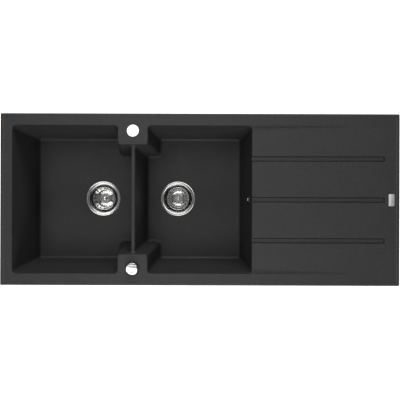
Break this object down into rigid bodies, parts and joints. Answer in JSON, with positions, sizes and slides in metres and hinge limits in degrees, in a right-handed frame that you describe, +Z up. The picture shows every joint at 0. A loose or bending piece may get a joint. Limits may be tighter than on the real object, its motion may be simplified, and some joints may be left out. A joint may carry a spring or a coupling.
{
  "type": "double bowl kitchen sink",
  "caption": "Inset kitchen sink with a double bowl, a lowered divider between ledges, lift-out basket wastes, a rotary waste control and a grooved drainer.",
  "frame": {"origin": "centre of the sink's outline, in the plane of the worktop's surface, which is the underside of the rim", "axes": "+X to the drainer, +Y to the rear, where the tap hole is, +Z up"},
  "size_m": [1.16, 0.5, 0.3188],
  "materials": {
    "composite": "fine matt mineral grain, black",
    "badge": "brushed and bare",
    "foam": "closed-cell foam tape",
    "zinc": "zinc plated",
    "chrome": "polished chrome",
    "steel": "polished stainless steel",
    "rubber": "black rubber",
    "plastic": "moulded, dark grey"
  },
  "bodies": {
    "sink": {"sink_body": "composite", "badge_plate": "badge", "sealing_tape": "foam", "clip_screw_1": "zinc", "clip_screw_2": "zinc", "clip_screw_3": "zinc", "clip_screw_4": "zinc", "clip_screw_5": "zinc", "clip_screw_6": "zinc", "clip_screw_7": "zinc", "clip_screw_8": "zinc", "overflow_cover": "chrome", "overflow_screw": "chrome", "overflow_gasket": "rubber", "overflow_elbow": "plastic", "overflow_hose": "plastic", "left_flange": "steel", "left_upper_gasket": "rubber", "left_lower_gasket": "rubber", "left_waste_body": "plastic", "left_tail_pipe": "plastic", "left_clamp_screw": "steel", "left_outlet_nut": "plastic", "right_flange": "steel", "right_upper_gasket": "rubber", "right_lower_gasket": "rubber", "right_waste_body": "plastic", "right_tail_pipe": "plastic", "right_clamp_screw": "steel", "right_outlet_nut": "plastic", "right_cable_ferrule": "zinc", "control_gasket": "rubber", "control_escutcheon": "plastic", "control_housing": "plastic", "control_lock_nut": "plastic", "control_cover": "plastic", "cable_sheath": "plastic"},
    "control": {"control_knob": "chrome", "control_spindle": "zinc", "cable_drum": "plastic"},
    "left_strainer": {"left_basket": "steel", "left_basket_seal": "rubber", "left_basket_knob": "steel"},
    "lift_pin": {"right_lift_pin": "steel"},
    "right_strainer": {"right_basket": "steel", "right_basket_seal": "rubber", "right_basket_knob": "steel"},
    "lift_lever": {"right_lift_lever": "plastic"},
    "cable_core": {"right_cable_core": "zinc"},
    "clip_1": {"clip_arm_1": "zinc"},
    "clip_2": {"clip_arm_2": "zinc"},
    "clip_3": {"clip_arm_3": "zinc"},
    "clip_4": {"clip_arm_4": "zinc"},
    "clip_5": {"clip_arm_5": "zinc"},
    "clip_6": {"clip_arm_6": "zinc"},
    "clip_7": {"clip_arm_7": "zinc"},
    "clip_8": {"clip_arm_8": "zinc"}
  },
  "joints": [
    {"name": "left_strainer_lift", "type": "slide", "parent": "sink", "child": "left_strainer", "axis": [0, 0, 1], "range_m": [0, 0.1]},
    {"name": "control_turn", "type": "hinge", "parent": "sink", "child": "control", "pos_m": [-0.1955, -0.2, 0.0065], "axis": [0, 0, 1], "range_deg": [0, 90]},
    {"name": "lift_pin_rise", "type": "slide", "parent": "sink", "child": "lift_pin", "axis": [0, 0, 1], "range_m": [0, 0.0081]},
    {"name": "right_strainer_lift", "type": "slide", "parent": "lift_pin", "child": "right_strainer", "axis": [0, 0, 1], "range_m": [0, 0.1]},
    {"name": "lift_lever_turn", "type": "hinge", "parent": "sink", "child": "lift_lever", "pos_m": [-0.04632, 0, -0.2528], "axis": [0, 1, 0], "range_deg": [0, 18.6]},
    {"name": "cable_core_pull", "type": "slide", "parent": "sink", "child": "cable_core", "axis": [-1, 0, 0], "range_m": [0, 0.0072]},
    {"name": "clip_swing_1", "type": "hinge", "parent": "sink", "child": "clip_1", "pos_m": [-0.43, -0.2295, -0.05], "axis": [0, 0, -1], "range_deg": [0, 90]},
    {"name": "clip_swing_2", "type": "hinge", "parent": "sink", "child": "clip_2", "pos_m": [0.02, -0.2295, -0.05], "axis": [0, 0, -1], "range_deg": [0, 90]},
    {"name": "clip_swing_3", "type": "hinge", "parent": "sink", "child": "clip_3", "pos_m": [0.4, -0.2295, -0.05], "axis": [0, 0, -1], "range_deg": [0, 90]},
    {"name": "clip_swing_4", "type": "hinge", "parent": "sink", "child": "clip_4", "pos_m": [-0.43, 0.2295, -0.05], "axis": [0, 0, -1], "range_deg": [0, 90]},
    {"name": "clip_swing_5", "type": "hinge", "parent": "sink", "child": "clip_5", "pos_m": [0.02, 0.2295, -0.05], "axis": [0, 0, -1], "range_deg": [0, 90]},
    {"name": "clip_swing_6", "type": "hinge", "parent": "sink", "child": "clip_6", "pos_m": [0.4, 0.2295, -0.05], "axis": [0, 0, -1], "range_deg": [0, 90]},
    {"name": "clip_swing_7", "type": "hinge", "parent": "sink", "child": "clip_7", "pos_m": [-0.5595, 0, -0.05], "axis": [0, 0, -1], "range_deg": [0, 90]},
    {"name": "clip_swing_8", "type": "hinge", "parent": "sink", "child": "clip_8", "pos_m": [0.5595, 0, -0.05], "axis": [0, 0, -1], "range_deg": [0, 90]}
  ],
  "couplings": [
    {"joint": "lift_pin_rise", "follows": "control_turn", "m_per_rad": 0.005093},
    {"joint": "lift_lever_turn", "follows": "control_turn", "ratio": 0.2046},
    {"joint": "cable_core_pull", "follows": "control_turn", "m_per_rad": 0.004482}
  ]
}
